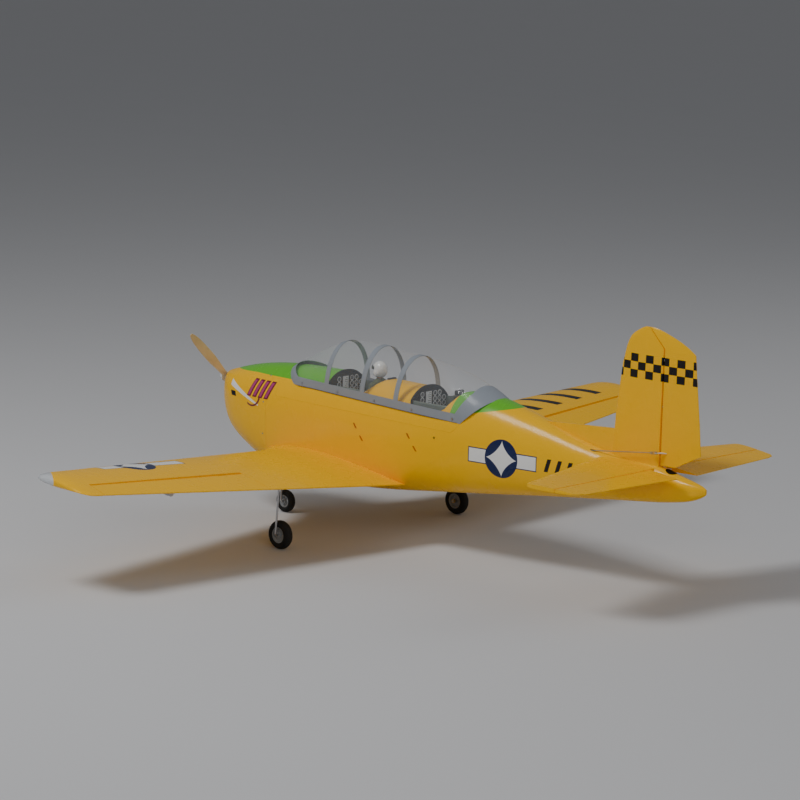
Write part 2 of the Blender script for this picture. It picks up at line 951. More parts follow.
def add_tube(
    form: bmesh.types.BMesh, path: Sequence[Vector], radii: Sequence[float], count: int = 16
) -> None:
    """Adds a tube along a path.

    Args:
        form: where to add it.
        path: points on its centreline.
        radii: a radius at each point.
        count: points round it.
    """
    rings = []
    for i, point in enumerate(path):
        ahead = (path[min(i + 1, len(path) - 1)] - path[max(i - 1, 0)]).normalized()
        side = ahead.cross(Vector((0.13, 0.21, 0.97))).normalized()
        rings.append(ring_at(point, side * radii[i], ahead.cross(side) * radii[i], count))
    add_loft(form, rings)


def add_box(form: bmesh.types.BMesh, low: Vector, high: Vector, bevel: float = 0.0) -> None:
    """Adds a box, its edges rounded.

    Args:
        form: where to add it.
        low: its low corner.
        high: its high corner.
        bevel: the radius of its edges.
    """
    size, centre = high - low, (low + high) / 2
    matrix = Matrix.Translation(centre) @ Matrix.Diagonal((*size, 1.0))
    made = bmesh.ops.create_cube(form, size=1.0, matrix=matrix)
    if bevel:
        edges = list({edge for vertex in made["verts"] for edge in vertex.link_edges})
        bmesh.ops.bevel(form, geom=edges, offset=bevel, segments=3, profile=0.5, affect="EDGES")


def add_ball(
    form: bmesh.types.BMesh, centre: Vector, radii: Colour, shape: Callable[[Vector], Vector] | None = None
) -> None:
    """Adds an ellipsoid, its unit sphere reshaped first.

    Args:
        form: where to add it.
        centre: its centre.
        radii: its half sizes.
        shape: moves each point of the unit sphere.
    """
    made = bmesh.ops.create_uvsphere(form, u_segments=36, v_segments=24, radius=1.0)
    for vertex in made["verts"]:
        unit = shape(vertex.co.copy()) if shape else vertex.co
        vertex.co = centre + Vector([u * r for u, r in zip(unit, radii)])


class Probe:
    """Finds points on a CAD node's surface by rays."""

    def __init__(self, node: str) -> None:
        """Reads a node's mesh.

        Args:
            node: its name.
        """
        mesh = bpy.data.objects[node].data
        self.tree = BVHTree.FromPolygons(
            [v.co.copy() for v in mesh.vertices], [tuple(p.vertices) for p in mesh.polygons]
        )
        self.node = node

    def hit(self, origin: Vector, direction: Vector) -> tuple[Vector, Vector] | None:
        """The first point a ray meets.

        Args:
            origin: where the ray starts.
            direction: where it goes.

        Returns:
            The point and the outward normal, or None.
        """
        point, normal, _, _ = self.tree.ray_cast(origin, direction.normalized())
        if point is None:
            return None
        return point, normal if normal.dot(direction) < 0 else -normal


class FieldTree:
    """Builds a geometry node tree and runs it on an object."""

    def __init__(self, name: str) -> None:
        """Starts a tree with a geometry input and output.

        Args:
            name: the tree's name.
        """
        self.tree = bpy.data.node_groups.new(name, "GeometryNodeTree")
        self.tree.interface.new_socket("Geometry", in_out="INPUT", socket_type="NodeSocketGeometry")
        self.tree.interface.new_socket("Geometry", in_out="OUTPUT", socket_type="NodeSocketGeometry")
        self.source = self.node("NodeGroupInput")
        self.sockets: dict[str, str] = {}

    def give(self, name: str, kind: str) -> None:
        """Adds a named input.

        Args:
            name: its name.
            kind: its socket type.
        """
        made = self.tree.interface.new_socket(name, in_out="INPUT", socket_type=kind)
        self.sockets[name] = made.identifier

    def node(self, kind: str, settings: dict | None = None, inputs: dict | None = None) -> bpy.types.Node:
        """Adds a node.

        Args:
            kind: its type name.
            settings: properties to set before the inputs.
            inputs: values or sockets by input name or number.

        Returns:
            The node.
        """
        made = self.tree.nodes.new(kind)
        for key, value in (settings or {}).items():
            setattr(made, key, value)
        for key, value in (inputs or {}).items():
            if isinstance(value, bpy.types.NodeSocket):
                self.tree.links.new(value, made.inputs[key])
            else:
                made.inputs[key].default_value = value
        return made

    def end(self, geometry: bpy.types.NodeSocket) -> None:
        """Realises the instances, sets the material and closes the tree.

        Args:
            geometry: what to dress and give out.
        """
        real = self.node("GeometryNodeRealizeInstances", None, {0: geometry})
        material = self.source.outputs["Material"]
        dressed = self.node(
            "GeometryNodeSetMaterial", None, {"Geometry": real.outputs[0], "Material": material}
        )
        self.node("NodeGroupOutput", None, {0: dressed.outputs[0]})

    def run(
        self, name: str, seed_mesh: bpy.types.Mesh, values: dict[str, object], smooth: bool
    ) -> bpy.types.Object:
        """Runs the tree and keeps only its finished mesh.

        Args:
            name: the piece's name.
            seed_mesh: what the tree starts from.
            values: its named inputs.
            smooth: whether the result shades smoothly.

        Returns:
            The finished piece.
        """
        carrier = bpy.data.objects.new(name + "_carrier", seed_mesh)
        bpy.context.scene.collection.objects.link(carrier)
        modifier = carrier.modifiers.new("field", "NODES")
        modifier.node_group = self.tree
        for key, value in values.items():
            modifier[self.sockets[key]] = value
        graph = bpy.context.evaluated_depsgraph_get()
        mesh = bpy.data.meshes.new_from_object(
            carrier.evaluated_get(graph), preserve_all_data_layers=True, depsgraph=graph
        )
        carrier.modifiers.remove(modifier)
        bpy.data.objects.remove(carrier)
        made = bpy.data.objects.new(name, mesh)
        bpy.context.scene.collection.objects.link(made)
        for polygon in mesh.polygons:
            polygon.use_smooth = smooth
        return made


class Scatter:
    """Places copies of one small template on points, each turned to its own facing."""

    def __init__(self) -> None:
        """Builds the tree once."""
        field_tree = FieldTree("scattered fittings")
        for name, kind in (
            ("Template", "NodeSocketObject"),
            ("Material", "NodeSocketMaterial"),
            ("Scale", "NodeSocketFloat"),
            ("Spin", "NodeSocketFloat"),
            ("Seed", "NodeSocketInt"),
        ):
            field_tree.give(name, kind)
        out = field_tree.source.outputs
        template = field_tree.node(
            "GeometryNodeObjectInfo", None, {"Object": out["Template"], "As Instance": True}
        )
        facing = field_tree.node(
            "GeometryNodeInputNamedAttribute", {"data_type": "FLOAT_VECTOR"}, {"Name": "facing"}
        )
        align = field_tree.node(
            "FunctionNodeAlignRotationToVector", {"axis": "Z"}, {"Vector": facing.outputs[0]}
        )
        least = field_tree.node("ShaderNodeMath", {"operation": "MULTIPLY"}, {0: out["Spin"], 1: -1.0})
        spin = field_tree.node(
            "FunctionNodeRandomValue",
            {"data_type": "FLOAT"},
            {2: least.outputs[0], 3: out["Spin"], "Seed": out["Seed"]},
        )
        turn = field_tree.node(
            "FunctionNodeAxisAngleToRotation", None, {"Axis": (0.0, 0.0, 1.0), "Angle": spin.outputs[1]}
        )
        both = field_tree.node(
            "FunctionNodeRotateRotation",
            {"rotation_space": "LOCAL"},
            {0: align.outputs[0], 1: turn.outputs[0]},
        )
        placed = field_tree.node("GeometryNodeInstanceOnPoints", None, {
            "Points": out["Geometry"], "Instance": template.outputs["Geometry"],
            "Rotation": both.outputs[0], "Scale": out["Scale"],
        })
        field_tree.end(placed.outputs[0])
        self.field_tree = field_tree

    def spread(self, name: str, template: bpy.types.Mesh, spots: Iterable[tuple[
        Vector, Vector
    ]], finish: Palette,
               spin: float = 0.0, seed: int = 1, smooth: bool = True) -> bpy.types.Object:
        """Spreads a template over spots.

        Args:
            name: the piece's name.
            template: the small mesh, standing on +Z.
            spots: points and outward directions.
            finish: what the pieces are made of.
            spin: largest turn about the facing.
            seed: seed of the turns.
            smooth: whether the pieces shade smoothly.

        Returns:
            The finished piece.
        """
        spots = list(spots)
        mesh = bpy.data.meshes.new(name + "_spots")
        mesh.from_pydata([point for point, _ in spots], [], [])
        facing = mesh.attributes.new("facing", "FLOAT_VECTOR", "POINT")
        facing.data.foreach_set("vector", [c for _, normal in spots for c in normal])
        holder = bpy.data.objects.new(name + "_template", template)
        bpy.context.scene.collection.objects.link(holder)
        values = {
            "Template": holder, "Material": finish.material(), "Scale": 1.0, "Spin": spin, "Seed": seed
        }
        made = self.field_tree.run(name, mesh, values, smooth)
        bpy.data.objects.remove(holder)
        return made


class Sweep:
    """Runs a round or flat section along a path."""

    def __init__(self) -> None:
        """Builds the tree once."""
        field_tree = FieldTree("swept edging")
        for name, kind in (
            ("Material", "NodeSocketMaterial"),
            ("Width", "NodeSocketFloat"),
            ("Thickness", "NodeSocketFloat"),
            ("Step", "NodeSocketFloat"),
        ):
            field_tree.give(name, kind)
        out = field_tree.source.outputs
        curve = field_tree.node("GeometryNodeMeshToCurve", None, {0: out["Geometry"]})
        even = field_tree.node(
            "GeometryNodeResampleCurve",
            {"mode": "LENGTH"},
            {"Curve": curve.outputs[0], "Length": out["Step"]},
        )
        circle = field_tree.node(
            "GeometryNodeCurvePrimitiveCircle", None, {"Resolution": 12, "Radius": 0.5}
        )
        size = field_tree.node("ShaderNodeCombineXYZ", None, {0: out["Width"], 1: out["Thickness"], 2: 1.0})
        section = field_tree.node(
            "GeometryNodeTransform", None, {"Geometry": circle.outputs[0], "Scale": size.outputs[0]}
        )
        swept = field_tree.node(
            "GeometryNodeCurveToMesh",
            None,
            {"Curve": even.outputs[0], "Profile Curve": section.outputs[0], "Fill Caps": True},
        )
        field_tree.end(swept.outputs[0])
        self.field_tree = field_tree

    def along(
        self, name: str, paths: Iterable[Sequence[Vector]], width: float, thickness: float, finish: Palette
    ) -> bpy.types.Object:
        """Sweeps a section along paths.

        Args:
            name: the piece's name.
            paths: lists of points.
            width: the section's width.
            thickness: the section's thickness.
            finish: what it is made of.

        Returns:
            The finished piece.
        """
        points: list[Vector] = []
        edges: list[tuple[int, int]] = []
        for path in paths:
            first = len(points)
            points += list(path)
            edges += [(i, i + 1) for i in range(first, len(points) - 1)]
        mesh = bpy.data.meshes.new(name + "_path")
        mesh.from_pydata(points, edges, [])
        values = {"Material": finish.material(), "Width": width, "Thickness": thickness, "Step": 0.0025}
        return self.field_tree.run(name, mesh, values, True)


def screw_template(radius: float, height: float) -> bpy.types.Mesh:
    """A pan-head screw with a crossed recess.

    Args:
        radius: the head's radius.
        height: the head's height.

    Returns:
        The mesh, standing on +Z.
    """
    form = bmesh.new()
    rings = []
    for share, rise in ((1.0, 0.0), (1.0, 0.35), (0.88, 0.75), (0.62, 0.97)):
        rings.append(ring_at(
            Vector((0, 0, rise * height)),
            Vector((radius * share, 0, 0)),
            Vector((0, radius * share, 0)),
            20,
        ))
    add_loft(form, rings)
    for turn in (0.0, math.pi / 2):
        arm = Matrix.Rotation(turn, 4, "Z") @ Matrix.Diagonal((
            radius * 1.0, radius * 0.16, height * 0.16, 1.0
        ))
        bmesh.ops.create_cube(form, size=1.0, matrix=Matrix.Translation((0, 0, height)) @ arm)
    return settle("screw", form)


def ring_template(radius: float, wire: float) -> bpy.types.Mesh:
    """A bezel ring.

    Args:
        radius: its middle radius.
        wire: its half thickness.

    Returns:
        The mesh, lying on the XY plane.
    """
    form = bmesh.new()
    rows = []
    for i in range(32):
        turn = 2 * math.pi * i / 32
        out = Vector((math.cos(turn), math.sin(turn), 0))
        rows.append([
            form.verts.new(point) for point in ring_at(out * radius, out * wire, Vector((0, 0, wire)), 10)
        ])
    for i, row in enumerate(rows):
        other = rows[(i + 1) % 32]
        for k in range(10):
            form.faces.new((row[k], row[(k + 1) % 10], other[(k + 1) % 10], other[k]))
    return settle("bezel", form)


def disc_template(radius: float, height: float) -> bpy.types.Mesh:
    """A round plate.

    Args:
        radius: its radius.
        height: its thickness.

    Returns:
        The mesh, standing on +Z.
    """
    form = bmesh.new()
    flat = [
        ring_at(Vector((0, 0, z)), Vector((radius, 0, 0)), Vector((0, radius, 0)), 28)
        for z in (0.0, height)
    ]
    add_loft(form, flat)
    return settle("plate", form)


def marks_template(radius: float) -> bpy.types.Mesh:
    """Twelve scale marks and a needle.

    Args:
        radius: the dial's radius.

    Returns:
        The mesh, on +Z.
    """
    form = bmesh.new()
    for i in range(12):
        spin = Matrix.Rotation(2 * math.pi * i / 12, 4, "Z")
        size = Matrix.Diagonal((radius * 0.22, radius * 0.07, 0.00016, 1.0))
        bmesh.ops.create_cube(
            form, size=1.0, matrix=spin @ Matrix.Translation((radius * 0.76, 0, 0)) @ size
        )
    needle = Matrix.Rotation(0.8, 4, "Z") @ Matrix.Translation((radius * 0.24, 0, 0.0001))
    bmesh.ops.create_cube(
        form, size=1.0, matrix=needle @ Matrix.Diagonal((radius * 0.75, radius * 0.09, 0.0002, 1.0))
    )
    return settle("marks", form)


# ------------------------------------------------------------------------------------------------
# Sub-assemblies
# ------------------------------------------------------------------------------------------------
@dataclass
class Kit:
    """What every sub-assembly shares: the record's slots and the field trees."""

    slots: dict[str, str]
    scatter: Scatter
    sweep: Sweep

    def dress(self, node: str, finish: Palette) -> None:
        """Gives a CAD node its finish.

        Args:
            node: its name.
            finish: what it is made of.
        """
        shape = bpy.data.objects[node]
        shape.data.materials.clear()
        shape.data.materials.append(finish.material())
        for polygon in shape.data.polygons:
            polygon.material_index = 0
        LOG.info("dressed %s with %s", node, finish.value.name)

    def fit(self, piece: bpy.types.Object, body: str, slot: str | None = None) -> bpy.types.Object:
        """Makes a finished piece ride on a body.

        Args:
            piece: the piece.
            body: the body's name.
            slot: a material slot of the record.

        Returns:
            The piece.
        """
        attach(piece, body)
        LOG.info("fitted %s to %s", piece.name, body)
        return piece


@dataclass
class Airframe:
    """Fuselage, cowl, wing and tail skins with their small fittings."""

    kit: Kit
    cowl_screw: float = 0.0021
    cover_screw: float = 0.0013
    skins: dict[str, Palette] = field(default_factory=lambda: {
        "fuselage_left_shell": Palette.HULL, "fuselage_right_shell": Palette.HULL, "cowl": Palette.HULL,
        "hatch_shell": Palette.HULL, "wing_left_panel": Palette.WING, "wing_right_panel": Palette.WING,
        "aileron_left": Palette.WING, "aileron_right": Palette.WING, "tailplane": Palette.WING,
        "elevator_left": Palette.WING, "elevator_right": Palette.WING,
        "fin": Palette.TAIL, "rudder": Palette.TAIL,
        "wing_tip_lights": Palette.LENS, "firewall": Palette.PLY, "fuselage_formers": Palette.PLY,
        "servo_tray": Palette.PLY, "wing_tube": Palette.TUBE, "surface_hinge_eyes": Palette.NYLON,
    })

    def build(self) -> None:
        """Dresses the skins and adds screws and fairings."""
        for node, finish in self.skins.items():
            self.kit.dress(node, finish)
        self._cowl_screws()
        self._gear_fairings()
        self._horn_fairings()

    def _cowl_screws(self) -> None:
        """Adds the painted screws round the cowl's rear edge."""
        low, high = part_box("cowl")
        probe = Probe("cowl")
        middle = Vector((low.x + 0.010, 0.0, (low.z + high.z) / 2))
        spots = []
        for turn in (-150, -115, -65, -30, 30, 65, 115, 150):
            way = Vector((0, math.sin(math.radians(turn)), math.cos(math.radians(turn))))
            found = probe.hit(middle + way * 0.5, -way)
            if found:
                spots.append((found[0] - found[1] * 0.0002, found[1]))
        template = screw_template(self.cowl_screw, 0.0009)
        self.kit.fit(
            self.kit.scatter.spread("cowl_screws", template, spots, Palette.SCREW, 1.5, 4), "airframe"
        )

    def _gear_fairings(self) -> None:
        """Adds the small blocks where the legs enter the wing."""
        form = bmesh.new()
        for side, node in ((1, "wing_left_panel"), (-1, "wing_right_panel")):
            leg_low, leg_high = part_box("main_gear_leg_left")
            x, y = (leg_low.x + leg_high.x) / 2, side * 0.3215
            found = Probe(node).hit(Vector((x, y, -0.1)), Vector((0, 0, 1)))
            if not found:
                continue
            foot = found[0].z - 0.007
            top = foot + 0.013
            outline = [(x + 0.016, top), (x + 0.007, foot), (x - 0.008, foot), (x - 0.030, top)]
            near, far = y - 0.006, y + 0.006
            rings = [[Vector((px, yy, pz)) for px, pz in outline] for yy in (near, far)]
            add_loft(form, rings)
        piece = add_object("gear_leg_fairings", settle("gear_leg_fairings", form), Palette.FAIRING, False)
        self.kit.fit(piece, "airframe")

    def _horn_fairings(self) -> None:
        """Adds the horns' mounting plates under the ailerons."""
        for side, stem in ((1, "left"), (-1, "right")):
            _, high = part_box(f"aileron_{stem}_fittings")
            x = high.x - 0.022
            probe = Probe(f"aileron_{stem}")
            y = side * 0.6982
            found = probe.hit(Vector((x, y, -0.1)), Vector((0, 0, 1)))
            if not found:
                continue
            form = bmesh.new()
            z = found[0].z
            add_box(
                form,
                Vector((x - 0.011, y - 0.006, z - 0.0012)),
                Vector((x + 0.007, y + 0.006, z + 0.002)),
                0.0005,
            )
            plate = add_object(f"aileron_{stem}_horn_plate", settle("plate", form), Palette.FAIRING)
            self.kit.fit(plate, f"aileron_{stem}_surface")
            spots = [
                (Vector((x + dx, y + dy, z - 0.0012)), Vector((0, 0, -1)))
                for dx in (-0.008, 0.004) for dy in (-0.0038, 0.0038)
            ]
            heads = self.kit.scatter.spread(
                f"aileron_{stem}_horn_screws",
                screw_template(self.cover_screw, 0.0007),
                spots,
                Palette.SCREW,
                1.5,
                9,
            )
            self.kit.fit(heads, f"aileron_{stem}_surface")


@dataclass
class Powerplant:
    """Engine, exhaust, tank and propeller."""

    kit: Kit
    bolt: float = 0.0024

    def build(self) -> None:
        """Dresses the parts and adds their bolts."""
        for node, finish in {
            "engine_block": Palette.ENGINE, "engine_mount": Palette.ALLOY, "muffler": Palette.MUFFLER,
            "fuel_tank": Palette.TANK, "crankshaft": Palette.SHAFT,
            "propeller": Palette.PROP, "spinner_nut": Palette.NUT,
        }.items():
            self.kit.dress(node, finish)
        low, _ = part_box("engine_block")
        axis_x = 0.628
        foot = low.z + 0.014
        spots = [(Vector((axis_x + 0.017 * math.cos(t), 0.017 * math.sin(t), foot)), Vector((0, 0, -1)))
                 for t in (math.pi / 4 + math.pi / 2 * i for i in range(4))]
        self.kit.fit(
            self.kit.scatter.spread(
                "cylinder_head_bolts", screw_template(self.bolt, 0.0022), spots, Palette.SCREW, 1.5, 2
            ),
            "airframe",
        )
        hub_low, hub_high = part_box("spinner_nut")
        centre = Vector((hub_low.x, 0.0, (hub_low.z + hub_high.z) / 2))
        washer = bmesh.new()
        rings = [ring_at(centre + Vector((dx, 0, 0)), Vector((0, r, 0)), Vector((0, 0, r)), 36)
                 for dx, r in ((0.0001, 0.0128), (0.0009, 0.0128), (0.0012, 0.0124))]
        add_loft(washer, rings)
        self.kit.fit(
            add_object("propeller_washer", settle("propeller_washer", washer), Palette.SHAFT),
            "propeller_assembly",
            "shaft_steel",
        )


@dataclass
class Undercarriage:
    """Legs, wheels and their hub details."""

    kit: Kit
    nut: float = 0.0030

    def build(self) -> None:
        """Dresses legs and wheels and adds hub bolts."""
        for node in ("main_gear_leg_left", "main_gear_leg_right", "nose_gear_leg"):
            self.kit.dress(node, Palette.WIRE)
        self.kit.dress("wheel_collars", Palette.BRASS)
        self.kit.dress("nose_gear_bracket", Palette.BLACK_NYLON)
        tyres = {
            "left_wheel": Palette.MAIN_TYRE,
            "right_wheel": Palette.RIGHT_TYRE,
            "nose_wheel": Palette.NOSE_TYRE,
        }
        for stem, tyre in tyres.items():
            self.kit.dress(stem + "_tyre", tyre)
            self.kit.dress(stem + "_hub", Palette.HUB)
            self._hub_bolts(stem)

    def _hub_bolts(self, stem: str) -> None:
        """Adds the bolts round a split hub.

        Args:
            stem: the wheel's name.
        """
        low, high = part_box(stem + "_hub")
        centre = (low + high) / 2
        reach = (high.x - low.x) / 2 * 0.56
        spots = []
        for side in (-1, 1):
            for i in range(6):
                turn = math.pi / 3 * i
                point = centre + Vector((reach * math.cos(turn), side * 0.0036, reach * math.sin(turn)))
                spots.append((point, Vector((0, side, 0))))
        template = disc_template(0.0013, 0.0009)
        self.kit.fit(
            self.kit.scatter.spread(stem + "_hub_bolts", template, spots, Palette.SCREW, 0.5, 3),
            stem,
            "hub_plastic",
        )


@dataclass
class RadioGear:
    """Servos, linkages, receiver and battery."""

    kit: Kit

    def build(self) -> None:
        """Dresses the radio gear and adds the servo screws and battery strap."""
        for node in ("fuselage_servos", "aileron_servos"):
            self.kit.dress(node, Palette.SERVO)
        self.kit.dress("receiver", Palette.RADIO)
        self.kit.dress("battery_pack", Palette.BATTERY)
        for node in (
            "aileron_servo_arm_left", "aileron_servo_arm_right", "rudder_servo_arm", "elevator_servo_arm"
        ):
            self.kit.dress(node, Palette.BLACK_NYLON)
        for node in ("aileron_pushrod_left", "aileron_pushrod_right", "rudder_pushrod", "elevator_pushrod"):
            self.kit.dress(node, Palette.ROD)
        for node in (
            "aileron_left_fittings", "aileron_right_fittings", "elevator_fittings", "rudder_fittings"
        ):
            self.kit.dress(node, Palette.NYLON)
        self._strap()
        self._tray_screws()

    def _strap(self) -> None:
        """Adds the webbing strap round the battery."""
        low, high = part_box("battery_pack")
        x = (low.x + high.x) / 2 + 0.022
        gap = 0.0008
        y0, y1, z0, z1 = low.y - gap, high.y + gap, low.z - gap, high.z + gap
        corners = [
            Vector((x, y0, z0)),
            Vector((x, y1, z0)),
            Vector((x, y1, z1)),
            Vector((x, y0, z1)),
            Vector((x, y0, z0)),
        ]
        self.kit.fit(
            self.kit.sweep.along("battery_strap", [corners], 0.0012, 0.014, Palette.WEBBING), "airframe"
        )

    def _tray_screws(self) -> None:
        """Adds the screws in the servos' ears."""
        low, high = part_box("fuselage_servos")
        spots = []
        for y in (-0.042, 0.0, 0.042):
            for x in (low.x + 0.0032, high.x - 0.0032):
                for dy in (-0.005, 0.005):
                    spots.append((Vector((x, y + dy, 0.2285)), Vector((0, 0, 1))))
        self.kit.fit(
            self.kit.scatter.spread(
                "servo_screws", screw_template(0.0017, 0.0010), spots, Palette.SCREW, 1.5, 5
            ),
            "airframe",
        )


@dataclass
class Cockpit:
    """Tub, seats, instrument panels and controls of both places."""

    kit: Kit
    dial: float = 0.0058
    columns: tuple[float, ...] = (-0.018, -0.034, -0.050)
    rows: tuple[float, ...] = (0.3700, 0.3565, 0.3430)

    def build(self) -> None:
        """Dresses the tub and builds everything in it."""
        self.kit.dress("cockpit_tub", Palette.TUB)
        self.kit.dress("instrument_panels", Palette.PANEL)
        self.kit.dress("pilot_seats", Palette.SEAT)
        probe = Probe("instrument_panels")
        for stem, start in (("front", 0.30), ("rear", 0.02)):
            found = probe.hit(Vector((start, 0.0, 0.350)), Vector((1, 0, 0)))
            if found:
                self._panel(stem, found[0].x)
        self._cushions()
        self._controls()

    def _panel(self, stem: str, face: float) -> None:
        """Adds dials, a placard and knobs to a panel.

        Args:
            stem: which place.
            face: the panel's face station.
        """
        back = Vector((-1, 0, 0))
        centres = [(y, z) for y in self.columns for z in self.rows] + [(0.027, z) for z in self.rows]
        spots = [(Vector((face, y, z)), back) for y, z in centres if abs(y) < 0.046 or z < 0.365]
        kit = self.kit
        kit.fit(
            kit.scatter.spread(stem + "_dials", disc_template(self.dial, 0.0005), spots, Palette.DIAL),
            "hatch",
            "panel_black",
        )
        raised = [(point + back * 0.0004, way) for point, way in spots]
        kit.fit(
            kit.scatter.spread(stem + "_bezels", ring_template(self.dial, 0.0008), raised, Palette.BEZEL),
            "hatch",
        )
        marks = [(point + back * 0.0007, way) for point, way in spots]
        kit.fit(
            kit.scatter.spread(
                stem + "_dial_marks", marks_template(self.dial), marks, Palette.MARKS, 3.1, 11, False
            ),
            "hatch",
        )
        card = bmesh.new()
        add_box(card, Vector((face - 0.0006, -0.006, 0.339)), Vector((face + 0.0001, 0.014, 0.376)), 0.0002)
        kit.fit(add_object(stem + "_placard", settle("placard", card), Palette.CARD, False), "hatch")
        lines = bmesh.new()
        for number in range(7):
            z = 0.343 + number * 0.0047
            reach = 0.0115 if number % 3 else 0.0075
            add_box(
                lines,
                Vector((face - 0.0008, -0.004, z)),
                Vector((face - 0.0005, -0.004 + reach, z + 0.0011)),
            )
        kit.fit(add_object(stem + "_placard_lines", settle("lines", lines), Palette.PANEL, False), "hatch")
        knobs = [(Vector((face, y, 0.3325)), back) for y in (0.034, 0.022, -0.012, -0.028, -0.042)]
        kit.fit(
            kit.scatter.spread(stem + "_knobs", disc_template(0.0022, 0.0032), knobs, Palette.KNOB), "hatch"
        )

    def _cushions(self) -> None:
        """Adds seat cushions, head rests and shoulder harnesses."""
        low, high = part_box("pilot_seats")
        floor = low.z
        for stem, x in (("rear", -0.020), ("front", 0.202)):
            form = bmesh.new()
            add_box(
                form,
                Vector((x + 0.004, -0.023, floor + 0.0138)),
                Vector((x + 0.044, 0.023, floor + 0.0175)),
                0.0016,
            )
            pan = add_object(stem + "_seat_cushion", settle("cushion", form), Palette.CUSHION)
            self.kit.fit(pan, "hatch")
            rest = bmesh.new()
            add_box(
                rest,
                Vector((x - 0.017, -0.014, high.z + 0.0002)),
                Vector((x - 0.008, 0.014, high.z + 0.013)),
                0.003,
            )
            head = add_object(stem + "_head_rest", settle("head_rest", rest), Palette.RUBBER)
            self.kit.fit(head, "hatch")
        straps = []
        for y in (-0.011, 0.011):
            straps.append([Vector((-0.0365 + 0.0009 * i, y, high.z + 0.0005)) for i in range(14)]
                          + [Vector((-0.0245 + 0.0011 * i, y, high.z - 0.0045 * i)) for i in range(1, 12)])
        self.kit.fit(self.kit.sweep.along("rear_harness", straps, 0.006, 0.0010, Palette.WEBBING), "hatch")

    def _controls(self) -> None:
        """Adds a stick and a throttle to each place."""
        for stem, x in (("front", 0.272), ("rear", 0.044)):
            form = bmesh.new()
            foot = 0.3025
            path = [
                Vector((x, 0, foot)),
                Vector((x + 0.002, 0, foot + 0.014)),
                Vector((x - 0.001, 0, foot + 0.030)),
            ]
            add_tube(form, path, [0.0012, 0.0012, 0.0012])
            add_ball(form, Vector((x - 0.001, 0, foot + 0.034)), (0.0026, 0.0026, 0.0056))
            add_ball(form, Vector((x, 0, foot)), (0.0055, 0.0055, 0.003))
            add_box(
                form,
                Vector((x + 0.004, 0.047, foot + 0.018)),
                Vector((x + 0.026, 0.0555, foot + 0.027)),
                0.001,
            )
            add_tube(
                form,
                [Vector((x + 0.014, 0.050, foot + 0.026)), Vector((x + 0.010, 0.050, foot + 0.036))],
                [0.0009, 0.0009],
            )
            add_ball(form, Vector((x + 0.0095, 0.050, foot + 0.038)), (0.0024, 0.0024, 0.0024))
            self.kit.fit(
                add_object(stem + "_controls", settle("controls", form), Palette.BLACK_NYLON), "hatch"
            )


@dataclass
class Canopy:
    """Glazing, its frame and the edging round it."""

    kit: Kit

    def build(self) -> None:
        """Dresses the canopy and runs the rubber edging along its foot."""
        self.kit.dress("canopy_frame", Palette.FRAME)
        self.kit.dress("canopy_glazing", Palette.CANOPY)
        self.kit.dress("canopy_screws", Palette.SCREW)
        probe = Probe("canopy_frame")
        paths = []
        for side in (-1, 1):
            path = []
            for step in range(46):
                x = 0.436 - 0.0118 * step
                z = 0.347 + (x - 0.442) * 0.0348 + 0.0006
                found = probe.hit(Vector((x, side * 0.3, z + 0.0012)), Vector((0, -side, 0)))
                if found:
                    path.append(Vector((x, found[0].y - side * 0.0006, z)))
            paths.append(path)
        edging = self.kit.sweep.along("canopy_edging", paths, 0.0016, 0.0016, Palette.RUBBER)
        self.kit.fit(edging, "hatch")


